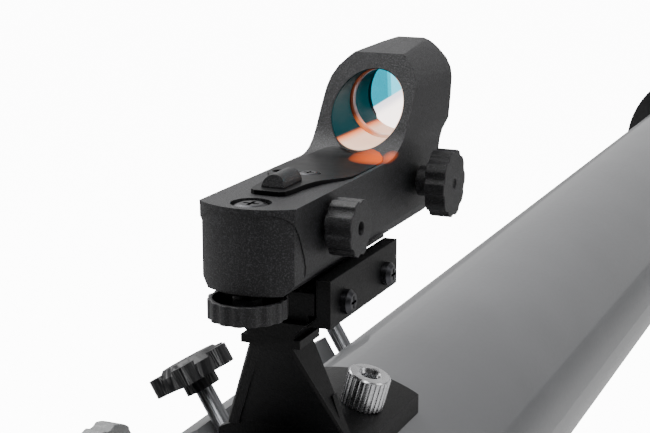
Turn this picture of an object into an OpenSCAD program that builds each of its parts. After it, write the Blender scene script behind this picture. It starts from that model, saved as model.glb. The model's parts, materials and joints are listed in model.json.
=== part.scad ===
// Small refracting telescope on a single-arm tabletop Dobsonian (alt-azimuth) base.
// Millimetres, +Z up. The tube points along +Y. The origin is on the azimuth axis,
// at the underside of the ground board, where the tripod socket opens.

/* [Tube] */
// Outer radius of the main tube
tube_r = 40; // [38:0.5:42]
// Wall thickness of the main tube
tube_wall = 1.2; // [0.8:0.1:1.6]
// Rear end of the main tube, measured from the altitude axis
tube_back = -150; // [-156:1:-140]
// Rear face of the dew shield, measured from the altitude axis
dew_back = 551; // [400:1:560]
// Length of the dew shield
dew_len = 98; // [80:1:120]
// Outer radius of the dew shield
dew_r = 53; // [50:0.5:56]
// Clear radius of the objective lens
lens_r = 35; // [30:0.5:35.5]

/* [Base] */
// Height of the altitude axis above the azimuth board
arm_rise = 345; // [325:1:400]
// Thickness of every board
board_t = 18; // [15:1:20]
// Radius of the ground board
ground_r = 170; // [150:1:200]
// Radius of the azimuth board
azimuth_r = 160; // [140:1:190]
// Height of the rubber feet
foot_h = 14; // [10:1:20]

/* [Finder] */
// Angle of each finder foot nut from the top of the tube
nut_angle = 15.3; // [14:0.1:17]
// Position of the finder foot nuts, measured from the altitude axis
nut_y = -99; // [-102:0.5:-96]
// Half width of the finder body
finder_w = 13.1; // [13:0.1:14]
// Radius of the finder window
window_r = 10.9; // [10:0.1:11.6]

/* [Focuser] */
// Outer radius of the drawtube
draw_r = 22; // [20:0.5:23]
// Teeth on the focusing pinion
pinion_teeth = 12; // [12:1:14]
// Module of the rack and pinion
tooth_m = 0.8; // [0.7:0.1:0.9]

/* [Hidden] */

$fn = 64;
gap = 0.05;                          // running clearance on a radius
pad_t = 2;                           // thickness of the azimuth pads
socket_r = 4.2;                      // tapping radius of the 3/8 inch tripod thread
rocker_z = board_t + pad_t;          // underside of the azimuth board
arm_z = rocker_z + board_t;          // where the side arm stands
pivot_z = arm_z + arm_rise;          // altitude axis
pivot_drop = 47;                     // tube axis above the altitude axis
tube_z = pivot_z + pivot_drop;       // tube axis
tilt = -31;                          // lean of the saddle about the tube axis
tube_front = dew_back + 11;          // front end of the main tube
cell_front = tube_front + 22;        // front face of the objective cell
lens_y = tube_front + 4;             // back of the lens seat
focus_y = -192;                      // pinion axis along the tube
rack_z = -(draw_r + 2.6);            // pitch line of the rack
pinion_r = pinion_teeth * tooth_m / 2;
pinion_z = rack_z - pinion_r;        // pinion axis below the tube axis
pitch = 3.14159265 * tooth_m;        // distance between rack teeth
eyepiece_r = 15.875;                 // 1.25 inch barrel
diagonal_y = -279;                   // corner of the folded light path
knob_y = -59.5;                      // azimuth knob and pitch axis of the finder
knob_z = 99.8;
dial_y = -125;                       // brightness knob
dial_z = 101;
wheel_y = -146.2;                      // elevation wheel
hood_z = 121.8;                      // centre of the finder window
bore_x = 0.5;                          // window axis beside the middle of the finder
saddle_out = 52;                     // flat back of the dovetail bar from the tube axis
arm_face = 106;                      // inner face of the side arm, left of the tube axis
hub_r = 20;                          // round top of the side arm
screw_out = 45;                      // clamp screws, out from the tube axis
screw_y = 50;                        // clamp screws, either side of the altitude axis

// ---------- helpers ----------
module at_tube() translate([0, 0, tube_z]) children();
module at_saddle() at_tube() rotate([0, tilt, 0]) children();
// A cylinder along +Y from y0 to y1, and a cone
module rod_y(r, y0, y1) translate([0, y0, 0]) rotate([-90, 0, 0]) cylinder(r = r, h = y1 - y0);
module cone_y(r0, r1, y0, y1)
  translate([0, y0, 0]) rotate([-90, 0, 0]) cylinder(r1 = r0, r2 = r1, h = y1 - y0);
// A cylinder along +X from x0 to x1
module rod_x(r, x0, x1) translate([x0, 0, 0]) rotate([0, 90, 0]) cylinder(r = r, h = x1 - x0);
module ring_y(ro, ri, y0, y1) difference() {
  rod_y(ro, y0, y1);
  rod_y(ri, y0 - 1, y1 + 1);
}
module box(x0, x1, y0, y1, z0, z1)
  translate([x0, y0, z0]) cube([x1 - x0, y1 - y0, z1 - z0]);
// A disc with notches cut in its rim, standing on z = 0
module notched_disc(r, h, notches, notch_r, bite) difference() {
  cylinder(r = r, h = h);
  for (i = [0 : notches - 1]) rotate([0, 0, i * 360 / notches])
    translate([r + notch_r - bite, 0, -1]) cylinder(r = notch_r, h = h + 2, $fn = 24);
}
// A knurled thumb screw head with its stem pointing down -z
module thumb_screw(head_r, head_h, stem_r, stem_len) {
  notched_disc(head_r, head_h, 20, 0.7, 0.4);
  translate([0, 0, -stem_len]) cylinder(r = stem_r, h = stem_len + 0.5, $fn = 32);
}
// A cross-recessed pan head on a shank that points down -z
module cross_screw(head_r, head_h, shank_r, shank_len) {
  difference() {
    union() {
      cylinder(r = head_r, h = head_h * 0.6);
      translate([0, 0, head_h * 0.6]) cylinder(r1 = head_r, r2 = head_r * 0.7, h = head_h * 0.4);
    }
    for (a = [0, 90]) rotate([0, 0, a])
      translate([-head_r * 0.5, -head_r * 0.11, head_h * 0.45])
        cube([head_r, head_r * 0.22, head_h]);
  }
  translate([0, 0, -shank_len]) cylinder(r = shank_r, h = shank_len + 0.2, $fn = 32);
}
// Polygon of a pinion: teeth with straight flanks
function gear_points(n, m, add, ded, half_root, half_tip) = [
  for (i = [0 : n - 1], k = [0 : 3])
    let (r = (k == 0 || k == 3) ? n * m / 2 - ded : n * m / 2 + add,
         w = (k == 0) ? -half_root : (k == 1) ? -half_tip : (k == 2) ? half_tip : half_root,
         a = i * 360 / n + w)
    [r * cos(a), r * sin(a)]
];

// ---------- optical tube ----------
module main_tube() color("dimgray") at_tube() difference() {
  ring_y(tube_r, tube_r - tube_wall, tube_back, tube_front);
  for (a = [-nut_angle, nut_angle]) rotate([0, a, 0])
    translate([0, nut_y, 0]) cylinder(r = 2.55, h = tube_r + 5);
}
module dew_shield() color("black") at_tube() {
  ring_y(dew_r, dew_r - 2, dew_back, dew_back + dew_len);
  ring_y(dew_r - 1.9, tube_r + gap, dew_back, dew_back + 4);
  ring_y(dew_r + 0.8, dew_r - 0.1, dew_back + dew_len - 5, dew_back + dew_len);
}
module objective_cell() color("black") at_tube() difference() {
  union() {
    rod_y(dew_r - 2.2, dew_back + 6, cell_front - 6);
    cone_y(dew_r - 2.2, lens_r + 4, cell_front - 6, cell_front);
  }
  rod_y(tube_r + gap, dew_back, tube_front);
  rod_y(lens_r - 1.5, tube_front - 1, cell_front + 1);
  rod_y(lens_r + gap, lens_y, cell_front + 1);
  rod_y(lens_r + 1.5, cell_front - 8, cell_front + 1);
}
// Points of a lens face: radius ro, sphere radius rs, from the edge to the axis
function lens_arc(ro, rs, steps = 8) = [for (i = [0 : steps])
  let (x = ro * (1 - i / steps)) [x, sqrt(rs * rs - x * x) - sqrt(rs * rs - ro * ro)]];
module lens_y_axis(y, points) translate([0, y, 0]) rotate([-90, 0, 0]) rotate_extrude()
  polygon(points);
module crown_lens() color("lightcyan") at_tube() lens_y_axis(lens_y + 4.4, concat(
  [for (p = lens_arc(lens_r, 380)) [p[0], p[1] + 5.4]],
  [for (i = [8 : -1 : 0]) let (p = lens_arc(lens_r, 300)[i]) [p[0], -p[1]]]));
module flint_lens() color("lightcyan") at_tube() lens_y_axis(lens_y + 0.1, concat(
  [[0, 0], [lens_r, 0]], [for (p = lens_arc(lens_r, 300)) [p[0], 4.1 - p[1]]]));
module retaining_ring() color("black") at_tube() difference() {
  ring_y(lens_r + 1.5 - gap, lens_r - 1.5, cell_front - 7.9, cell_front - 3);
  for (s = [-1, 1]) translate([s * lens_r, cell_front - 3, 0]) cube([8, 4, 3], center = true);
}
module tube_baffles() color("black") at_tube() for (b = [[320, 29], [80, 22]]) {
  ring_y(tube_r - tube_wall - gap, tube_r - tube_wall - 1, b[0], b[0] + 12);
  ring_y(tube_r - tube_wall - 0.9, b[1], b[0], b[0] + 1);
}

// ---------- focuser ----------
module focuser_body() color("black") at_tube() difference() {
  union() {
    rod_y(tube_r + 2.4, tube_back - 10, tube_back);
    rod_y(tube_r - tube_wall - gap, tube_back - 1, tube_back + 14);
    cone_y(draw_r + 6, tube_r - 2, tube_back - 26, tube_back - 9);
    rod_y(draw_r + 5, tube_back - 60, tube_back - 20);
    rod_y(draw_r + 6.5, tube_back - 60, tube_back - 55);
    box(-13, 13, focus_y - 11, focus_y + 11, pinion_z - 7.5, -10);
    translate([0, focus_y - 8, 0]) cylinder(r = 4.5, h = draw_r + 7);
  }
  rod_y(draw_r + gap, tube_back - 61, tube_back + 15);
  rod_y(tube_r - 6, tube_back + 2, tube_back + 15);
  box(-5, 5, tube_back - 61, tube_back + 3, rack_z - 1.4, 0);
  box(-6, 6, focus_y - 7, focus_y + 7, pinion_z - 8, rack_z + 1);
  translate([0, focus_y, pinion_z]) rod_x(3 + gap, -20, 20);
  translate([0, focus_y - 8, 0]) cylinder(r = 2 + gap, h = draw_r + 8);
}
module drawtube() color("silver") at_tube() difference() {
  rod_y(draw_r, -245, -125);
  rod_y(draw_r - 1.8, -246, -124);
}
module focus_rack() color("silver") at_tube() {
  box(-4, 4, -243, -140, rack_z + 1.1, -draw_r - 0.05);
  for (i = [0 : 39]) translate([0, -242 + i * pitch + (focus_y + 242) % pitch + pitch / 2, 0])
    translate([4, 0, rack_z]) rotate([90, 0, -90]) linear_extrude(8)
      polygon([[-0.75, 1.15], [0.75, 1.15], [0.26, -0.62], [-0.26, -0.62]]);
}
module focus_pinion() color("silver") at_tube() translate([0, focus_y, pinion_z]) {
  rod_x(3, -40, 40);
  translate([5, 0, 0]) rotate([0, -90, 0]) linear_extrude(10)
    polygon(gear_points(pinion_teeth, tooth_m, 0.62, 0.95, 8.2, 3.4));
}
module focus_knob() {
  notched_disc(19, 13, 30, 1.2, 0.7);
  translate([0, 0, 13]) cylinder(r1 = 17.5, r2 = 15, h = 2.5);
  translate([0, 0, -6]) cylinder(r = 8, h = 6.5);
}
module focus_knob_left() color("black") at_tube()
  translate([-26, focus_y, pinion_z]) rotate([0, -90, 0]) difference() {
    focus_knob();
    translate([0, 0, -7]) cylinder(r = 3, h = 21);
  }
module focus_knob_right() color("black") at_tube()
  translate([26, focus_y, pinion_z]) rotate([0, 90, 0]) difference() {
    focus_knob();
    translate([0, 0, -7]) cylinder(r = 3, h = 21);
  }
module pinion_cover() color("black") at_tube() difference() {
  box(-13, 13, focus_y - 11, focus_y + 11, pinion_z - 10, pinion_z - 7.5);
  for (x = [-9.5, 9.5], y = [-8, 8]) translate([x, focus_y + y, pinion_z - 11])
    cylinder(r = 1.35, h = 4);
}
module focuser_screws() color("silver") at_tube() {
  for (x = [-9.5, 9.5], y = [-8, 8]) translate([x, focus_y + y, pinion_z - 10])
    mirror([0, 0, 1]) cross_screw(2.4, 1.6, 1.3, 2.5);
  for (a = [30, 150, 270]) rotate([0, a, 0]) translate([0, tube_back + 7, tube_r])
    cross_screw(2.6, 1.7, 0.9, 0);
}
module focus_lock_screw() color("silver") at_tube()
  translate([0, focus_y - 8, draw_r + 10]) thumb_screw(6, 7, 2, 9.9);
module eyepiece_adapter() color("black") at_tube() difference() {
  union() {
    rod_y(draw_r - 1.8 - gap, -246, -236);
    rod_y(draw_r + 1.5, -259.4, -245);
  }
  rod_y(eyepiece_r + gap, -263, -235);
  translate([0, -254, 0]) rod_x(1.75, 0, 30);
}
module adapter_thumbscrew() color("silver") at_tube()
  translate([draw_r + 4, -254, 0]) rotate([0, 90, 0]) thumb_screw(4.5, 6, 1.7, 9.5);

// ---------- diagonal and eyepiece ----------
module diagonal_nose() color("silver") at_tube() difference() {
  rod_y(eyepiece_r, diagonal_y + 14.1, -238);
  rod_y(eyepiece_r - 1.4, diagonal_y + 13, -237);
}
module diagonal_housing() color("black") at_tube() translate([0, diagonal_y, 0]) difference() {
  union() {
    rotate([0, 90, 0]) translate([0, 0, -18]) linear_extrude(36)
      polygon([[18, 16.5], [18, -2], [2, -18], [-18, -18], [-18, 16.5]]);
    translate([0, 0, 17]) cylinder(r = 19, h = 22);
  }
  rod_y(eyepiece_r - 1.5, -4, 18);
  rod_y(eyepiece_r + gap, 14, 18);
  translate([0, 0, -4]) cylinder(r = eyepiece_r - 1.5, h = 30);
  translate([0, 0, 18]) cylinder(r = eyepiece_r + gap, h = 23);
  rotate([0, 90, 0]) translate([0, 0, -15]) linear_extrude(30)
    polygon([[14, 12], [14, -1], [1, -14], [-12, -14]]);
  translate([0, 0, 29]) rod_x(1.75, 0, 30);
}
module diagonal_mirror() color("silver") at_tube() translate([0, diagonal_y, 0])
  rotate([-45, 0, 0]) translate([-12, -9, -10.4]) cube([24, 18, 2.4]);
module diagonal_thumbscrew() color("silver") at_tube()
  translate([21.5, diagonal_y, 29]) rotate([0, 90, 0]) thumb_screw(4.5, 6, 1.7, 5);
module eyepiece_barrel() color("silver") at_tube() translate([0, diagonal_y, 0]) difference() {
  translate([0, 0, 18.5]) cylinder(r = eyepiece_r, h = 21.5);
  translate([0, 0, 18]) cylinder(r = eyepiece_r - 1.2, h = 23);
}
module eyepiece_body() color("black") at_tube() translate([0, diagonal_y, 40]) difference() {
  union() {
    notched_disc(17.5, 14, 24, 1.2, 0.7);
    translate([0, 0, 13.9]) cylinder(r1 = 16.5, r2 = 13.5, h = 12);
  }
  translate([0, 0, -1]) cylinder(r = 10.05, h = 16);
  translate([0, 0, 15]) cylinder(r = 7, h = 13);
}
module eyecup() color("black") at_tube() translate([0, diagonal_y, 65.9]) difference() {
  union() {
    cylinder(r = 14.5, h = 4);
    translate([0, 0, 3.9]) cylinder(r1 = 14.5, r2 = 16.5, h = 6);
  }
  translate([0, 0, -1]) cylinder(r = 9, h = 3);
  translate([0, 0, 1]) cylinder(r1 = 11, r2 = 15, h = 10);
}
module eyepiece_lenses() color("lightcyan") at_tube() translate([0, diagonal_y, 0]) {
  translate([0, 0, 42]) rotate_extrude() polygon(concat([[0, 0], [10, 0]],
    [for (p = lens_arc(10, 40)) [p[0], p[1] + 3.2]]));
  translate([0, 0, 56.5]) rotate_extrude() polygon(concat([[0, 0], [6.95, 0]],
    [for (p = lens_arc(6.95, 25)) [p[0], p[1] + 2]]));
}

// ---------- finder foot ----------
foot_back = -123;
foot_front = -77;
module finder_foot() color("black") at_tube() difference() {
  union() {
    // saddle plate that follows the tube
    intersection() {
      ring_y(tube_r + 5, tube_r + gap, foot_back, foot_front);
      box(-21, 21, foot_back, foot_front, 30, 50);
    }
    // back plate of the post, leaning to the rear
    translate([0, -121, 44]) rotate([90, 0, 0]) linear_extrude(2.5)
      polygon([[-17.3, -1.5], [17.3, -1.5], [13.5, 10], [-13.5, 10]]);
    hull() {
      box(-17, 17, -124, -121, 43.5, 44.5);
      box(-5.4, 5.4, -133.5, -130.5, 68, 70);
    }
    // side walls, deep at the top and shallow at the tube
    for (s = [-1, 1]) hull() {
      box(s > 0 ? 14.4 : -17.4, s > 0 ? 17.4 : -14.4, -124, -120.8, 42, 43.5);
      box(s > 0 ? 2.9 : -5.9, s > 0 ? 5.9 : -2.9, -133.5, -120.8, 68, 70);
    }
    // dovetail rail, with a ledge above the post
    translate([0, -84, 0]) rotate([90, 0, 0]) linear_extrude(49.5)
      polygon([[-6.6, 70.8], [6.6, 70.8], [6.6, 72.5], [10, 76], [-10, 76], [-6.6, 72.5]]);
    box(-8.5, 8.5, -133.5, -120.8, 69.3, 71.6);
  }
  for (a = [-nut_angle, nut_angle]) rotate([0, a, 0])
    translate([0, nut_y, tube_r - 5]) cylinder(r = 2.75, h = 12);
}
module foot_studs() color("silver") at_tube() for (a = [-nut_angle, nut_angle])
  rotate([0, a, 0]) translate([0, nut_y, tube_r - tube_wall - 2.2]) {
    cylinder(r = 2.5, h = 15.4, $fn = 32);
    cylinder(r = 5, h = 1.8, $fn = 6);
  }
module foot_nut() difference() {
  union() {
    notched_disc(6.25, 8.9, 28, 0.45, 0.32);
    translate([0, 0, 8.8]) cylinder(r1 = 5.95, r2 = 5.6, h = 0.5);
  }
  translate([0, 0, -1]) cylinder(r = 2.5 + gap, h = 12, $fn = 32);
  translate([0, 0, 8]) cylinder(r1 = 2.6, r2 = 3.3, h = 1.4);
}
module foot_nut_right() color("silver") at_tube() rotate([0, nut_angle, 0])
  translate([0, nut_y, tube_r + 5.1]) foot_nut();
module foot_nut_left() color("silver") at_tube() rotate([0, -nut_angle, 0])
  translate([0, nut_y, tube_r + 5.1]) foot_nut();

// ---------- finder clamp ----------
module finder_clamp_base() color("black") at_tube() difference() {
  union() {
    box(-15, 9.8, -131, -83, 76.1, 84);
    box(9, 11.5, -131, -83, 78, 84);
    translate([0, -83, 0]) rotate([90, 0, 0]) linear_extrude(48)
      polygon([[-15, 74.9], [-15, 84], [-10.1, 84], [-10.1, 76], [-8.9, 74.9]]);
    translate([0, -100, 83]) cylinder(r = 2.5, h = 5, $fn = 32);
  }
  for (y = [-121.5, -92.5]) translate([0, y, 80]) rod_x(1.6, -16, 12);
}
module finder_clamp_jaw() color("black") at_tube() difference() {
  translate([0, -83, 0]) rotate([90, 0, 0]) linear_extrude(48)
    polygon([[12, 87.8], [12, 77.5], [10.1, 75.8], [9.2, 74.9], [16, 74.9], [16, 87.8]]);
  for (y = [-121.5, -92.5]) translate([0, y, 80]) rod_x(1.65, 11, 17);
}
module clamp_screws() color("black") at_tube() for (y = [-121.5, -92.5])
  translate([16, y, 80]) rotate([0, 90, 0]) cross_screw(3.3, 2.6, 1.5, 22);

// ---------- finder ----------
module finder_swivel() color("black") at_tube() difference() {
  union() {
    box(-7, 7, -141, -52, 86.8, 89.2);
    box(-5, 5, -149.2, -140, 86.8, 89.2);
    box(-7, 7, -129, -70, 84.3, 87);
    box(-3.8, 3.8, -66, -54, 89, 96);
    translate([0, knob_y, knob_z]) rod_x(5.2, -3.8, 3.8);
  }
  translate([0, -100, 84]) cylinder(r = 2.5 + gap, h = 4.5, $fn = 32);
  translate([0, wheel_y, 86]) cylinder(r = 2 + gap, h = 4, $fn = 32);
  translate([0, knob_y, knob_z]) rod_x(2 + gap, -5, 5);
}
// Plan of the body: a round back, straight sides and the wall thickness t taken off
module finder_plan(t) {
  translate([0, -132, 80]) cylinder(r = 20 - t, h = 70, $fn = 96);
  box(-20, 20, -132, 0, 80, 150);
}
// Solid outside of the finder: plan, side view and end view cut from one block
module finder_outer() intersection() {
  finder_plan(0);
  translate([-20, 0, 0]) rotate([90, 0, 90]) linear_extrude(40)
    polygon(concat([[-160, 110], [-160, 88], [-46.6, 88], [-39.6, 112], [-34.8, 114.9],
      [-31.9, 129], [-31.4, 138.6], [-58.4, 136.8]],
      [for (i = [11 : -1 : 0]) scoop(0)[i]]));
  rotate([90, 0, 0]) linear_extrude(160) polygon(concat(
    [for (p = finder_side) p],
    [for (i = [len(finder_side) - 1 : -1 : 0]) [-finder_side[i][0], finder_side[i][1]]]));
}
// Right half of the end view, from the floor up to the crown of the hood
finder_side = [[10.4, 88], [12.6, 90.4], [finder_w - 0.2, 92], [finder_w, 109], [13.6, 112],
               [13.9, 115], [14, 122], [13.9, 127], [13.3, 130], [11.8, 132.9], [9.2, 135.6],
               [7.4, 137.1], [5.9, 138], [4.2, 138.6]];
// Hollow of the scooped face in front of the window, raised by d
function scoop(d) = [for (t = [0 : 5 : 55]) [16 * sin(t) - 85.7, 126 + d - 16 * cos(t)]];
// Right half of the deck's plan, from the tongue under the hump to the rounded front
deck_side = [[3.4, -136], [4.8, -135], [5.4, -132.5], [6, -125], [7.6, -118.8], [9.2, -115],
             [11, -112], [12, -108.5], [12, -88], [11.5, -84.6], [10.3, -81.6], [8.6, -79.5],
             [6.3, -78.4]];
// Plan of the deck, grown by d
module deck_plan(d) offset(delta = d) polygon(concat(deck_side,
  [for (i = [len(deck_side) - 1 : -1 : 0]) [-deck_side[i][0], deck_side[i][1]]]));
// Edge of the shallow panel round the back, seen from the side
ridge = [[-150.2, 108.7], [-149, 108], [-146.9, 105.7], [-144.6, 102.7], [-142.8, 99.4],
         [-141.3, 96.5], [-140.4, 93.6], [-140.8, 91.6], [-142, 86]];
module back_panel() difference() {
  translate([-22, 0, 0]) rotate([90, 0, 90]) linear_extrude(44)
    polygon(concat([[-165, 86], [-165, 108.7]], ridge));
  intersection() {
    finder_plan(0.45);
    box(0.4 - finder_w, finder_w - 0.4, -160, 0, 80, 150);
  }
}
module finder_cuts() {
  intersection() {
    box(-10.4, 10.4, -160, -52, 90.4, 107.4);
    finder_plan(2.2);
  }
  box(-9, 9, -142, -51.5, 86, 91);
  box(-6.5, 6.5, -149.7, -141, 86, 91);
  translate([bore_x, 0, hood_z]) rod_y(window_r, -90, -30);
  translate([bore_x, 0, hood_z]) rod_y(window_r + 1, -42, -30);
  translate([0, 0, 107.3]) linear_extrude(6) deck_plan(0.1);
  back_panel();
  translate([0, knob_y, knob_z]) rod_x(2 + gap, -20, 20);
  translate([0, dial_y, dial_z]) rod_x(2.5 + gap, 0, 20);
  translate([0, -144.7, 108.6]) cylinder(r = 5.2, h = 4);
  translate([0, -144.7, 106]) cylinder(r = 1.45, h = 4, $fn = 32);
}
module at_finder() at_tube() translate([0.5, 0, 0]) children();
module finder_shell(x0, x1) at_finder() {
  difference() {
    intersection() {
      finder_outer();
      box(x0, x1, -160, 0, 80, 145);
    }
    finder_cuts();
  }
  // lug that rests on the elevation screw
  box(max(x0, -3), min(x1, 3), wheel_y - 3, wheel_y + 3, 98.2, 107.5);
}
module finder_shell_left() color("black") finder_shell(-30, -0.02);
module finder_shell_right() color("black") finder_shell(0.02, 30);
module finder_deck() color("black") at_finder() difference() {
  intersection() {
    translate([0, 0, 107.4]) linear_extrude(6) deck_plan(0);
    translate([-15, 0, 0]) rotate([90, 0, 90]) linear_extrude(30)
      polygon(concat([[-75, 107], [-138, 107], [-138, 111.2], [-121, 111.2], [-104, 110.3]],
        scoop(0.25), [[-70, 125]]));
  }
  translate([bore_x, 0, hood_z]) rod_y(window_r, -90, -70);
  translate([0, -109.5, 110]) cylinder(r = 3.2, h = 3, $fn = 32);
  translate([0, -109.5, 107]) cylinder(r = 1.2, h = 6, $fn = 32);
  translate([-8, -110, 109.9]) cylinder(r = 2.4, h = 3, $fn = 32);
}
module deck_screws() color("silver") at_finder() {
  translate([0, -144.7, 108.65]) cross_screw(4.3, 1.2, 1.4, 1);
  translate([0, -109.5, 110.05]) cross_screw(2.9, 0.8, 1.1, 2.5);
}
module led_hood() color("black") at_finder() difference() {
  translate([0, 0, 111.25]) rod_y(3.2, -132.3, -121.1);
  box(-6, 6, -134, -119, 105, 111.23);
  translate([0, -127, 112.7]) rod_y(1.2 + gap, 0, 8);
  translate([0, -132.4, 111.2]) rotate([-24, 0, 0]) box(-6, 6, -8, 0, -1, 9);
}
module led_emitter() color("red") at_finder() translate([0, 0, 112.7]) rod_y(1.2, -126.9, -121.5);
module finder_lens() color("cyan") at_finder() translate([bore_x, 0, hood_z]) lens_y_axis(-41.9,
  concat([[0, 0], [window_r + 0.95, 0]],
    [for (p = lens_arc(window_r + 0.95, 90)) [p[0], p[1] + 4]]));
module brightness_knob() color("black") at_tube() translate([14.6, dial_y, dial_z])
  rotate([0, 90, 0]) {
    difference() {
      notched_disc(7.5, 7.4, 8, 2.4, 0.7);
      translate([0, 0, 5.9]) cylinder(r = 1.8, h = 3, $fn = 32);
    }
    translate([0, 0, -4]) cylinder(r = 2.5, h = 4.5, $fn = 32);
  }
module azimuth_knob() color("black") at_tube() translate([0, knob_y, knob_z]) rotate([0, 90, 0]) {
  translate([0, 0, 18.8]) difference() {
    notched_disc(10, 6.2, 10, 2.6, 0.7);
    translate([0, 0, 5.6]) cylinder(r = 1.5, h = 3, $fn = 32);
  }
  translate([0, 0, 14.2]) cylinder(r = 4.5, h = 4.8);
  translate([0, 0, -12.8]) cylinder(r = 2, h = 27, $fn = 32);
}
module elevation_wheel() color("black") at_tube() translate([0, wheel_y, 81]) {
  difference() {
    notched_disc(10.2, 5.2, 16, 2.2, 0.45);
    translate([0, 0, 2]) difference() {
      cylinder(r = 8.8, h = 6);
      cylinder(r = 3.8, h = 7);
    }
  }
  translate([0, 0, 1]) cylinder(r = 2, h = 15, $fn = 32);
}
module finder_battery() color("silver") at_finder()
  translate([0, -119, 103.6]) cylinder(r = 10, h = 3.2);
module circuit_board() color("darkgreen") at_finder() box(-9.4, 9.4, -134, -96, 101.9, 103.3);

// ---------- saddle ----------
module dovetail_bar() color("black") at_saddle() difference() {
  translate([0, 80, 0]) rotate([90, 0, 0]) linear_extrude(160)
    polygon([[-30, -17], [-saddle_out, -22], [-saddle_out, 22], [-30, 17]]);
  rod_y(tube_r + gap, -81, 81);
}
// A point of the saddle section, turned into the upright section about the tube axis
function turned(x, z) = [x * cos(tilt) + z * sin(tilt), z * cos(tilt) - x * sin(tilt)];
module saddle_bracket() color("black") {
  at_saddle() difference() {
    union() {
      box(-64, -saddle_out - 0.1, -60, 56, -31, 31);
      for (s = [-1, 1]) translate([0, 56, 0]) rotate([90, 0, 0]) linear_extrude(116)
        polygon([[-63, s * 22.6], [-saddle_out, s * 22.6], [-39, s * 19.7], [-39, s * 31],
                 [-63, s * 31]]);
      box(-64, -48.6, -60, 47, 30, 40);
    }
    for (y = [-screw_y, screw_y]) translate([-screw_out, y, 15])
      cylinder(r = 3 + gap, h = 30, $fn = 32);
  }
  difference() {
    union() {
      at_tube() translate([0, 26, 0]) rotate([90, 0, 0]) linear_extrude(52)
        polygon([[-97, -pivot_drop - hub_r], [-80, -pivot_drop - hub_r], turned(-62, -28),
                 turned(-62, 22), [-80, -pivot_drop + hub_r - 2], [-97, -pivot_drop + hub_r - 2]]);
      translate([0, 0, pivot_z]) rod_x(hub_r, -103.5, -95);
    }
    translate([0, 0, pivot_z]) rod_x(6 + gap, -105, -92);
  }
}
module star_knob() {
  difference() {
    union() {
      cylinder(r = 6, h = 11);
      translate([0, 0, 4]) hull() {
        cylinder(r = 9.5, h = 7.5);
        cylinder(r = 12, h = 5, $fn = 64);
      }
      for (i = [0 : 4]) rotate([0, 0, i * 72]) translate([10.8, 0, 4])
        cylinder(r = 4.2, h = 6.4, $fn = 32);
    }
    translate([0, 0, 9.5]) cylinder(r = 2.6, h = 4, $fn = 32);
  }
}
module star_knob_at(y) at_saddle() translate([-screw_out, y, 0]) {
  translate([0, 0, 21.7]) cylinder(r = 3, h = 30, $fn = 32);
  translate([0, 0, 50.6]) star_knob();
}
module star_knob_rear() color("dimgray") star_knob_at(-screw_y);
module star_knob_front() color("dimgray") star_knob_at(screw_y);

// ---------- altitude bearing ----------
module altitude_axle() color("silver") translate([0, 0, pivot_z]) rod_x(6, -143, -92.5);
module altitude_washers() color("ivory") translate([0, 0, pivot_z])
  for (x = [-arm_face, -arm_face - board_t - 2.4]) difference() {
    rod_x(19, x + 0.05, x + 2.35);
    rod_x(6 + gap, x - 1, x + 4);
  }
module tension_knob() color("lightgray") translate([-arm_face - board_t - 2.5, 0, pivot_z])
  rotate([0, -90, 0]) difference() {
    union() {
      cylinder(r = 14, h = 7);
      translate([0, 0, 6.5]) notched_disc(24.2, 9, 8, 6, 1.4);
      translate([0, 0, 15.4]) cylinder(r1 = 21.5, r2 = 12, h = 7);
    }
    translate([0, 0, -1]) cylinder(r = 6 + gap, h = 19);
  }

// ---------- base ----------
module side_arm() color("saddlebrown") difference() {
  union() {
    hull() {
      translate([0, 0, pivot_z]) rod_x(hub_r, -arm_face - board_t, -arm_face);
      box(-arm_face - board_t, -arm_face, -58, 58, arm_z + 150, arm_z + 160);
    }
    hull() {
      box(-arm_face - board_t, -arm_face, -58, 58, arm_z + 150, arm_z + 160);
      box(-arm_face - board_t, -arm_face, -88, 88, arm_z, arm_z + 30);
    }
  }
  translate([0, 0, pivot_z]) rod_x(6 + gap, -arm_face - board_t - 1, -arm_face + 1);
}
module arm_brace() color("saddlebrown") translate([0, 9, 0]) rotate([90, 0, 0]) linear_extrude(18)
  polygon([[-arm_face, arm_z], [-52, arm_z], [-52, arm_z + 30], [-arm_face + 8, arm_z + 150],
           [-arm_face, arm_z + 150]]);
module azimuth_board() color("saddlebrown") difference() {
  translate([0, 0, rocker_z]) cylinder(r = azimuth_r, h = board_t, $fn = 128);
  translate([0, 0, rocker_z - 1]) cylinder(r = 6 + gap, h = board_t + 2);
}
module azimuth_pads() color("ivory") for (a = [30, 150, 270]) rotate([0, 0, a])
  translate([azimuth_r - 28, 0, board_t]) cylinder(r = 14, h = pad_t - 0.05);
module azimuth_pivot() color("silver") difference() {
  union() {
    cylinder(r = 9, h = board_t);
    translate([0, 0, board_t - 0.1]) cylinder(r = 6, h = board_t + pad_t + 2);
    translate([0, 0, arm_z + 1]) cylinder(r = 14, h = 2);
    translate([0, 0, arm_z + 2.9]) cylinder(r = 9, h = 6, $fn = 6);
  }
  translate([0, 0, -1]) cylinder(r = socket_r, h = 13);
}
module ground_board() color("saddlebrown") difference() {
  cylinder(r = ground_r, h = board_t, $fn = 128);
  translate([0, 0, -1]) cylinder(r = 9 + gap, h = board_t + 2);
}
module feet() color("black") for (a = [30, 150, 270]) rotate([0, 0, a])
  translate([ground_r - 24, 0, -foot_h]) {
    cylinder(r1 = 15, r2 = 18, h = foot_h);
  }

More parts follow.
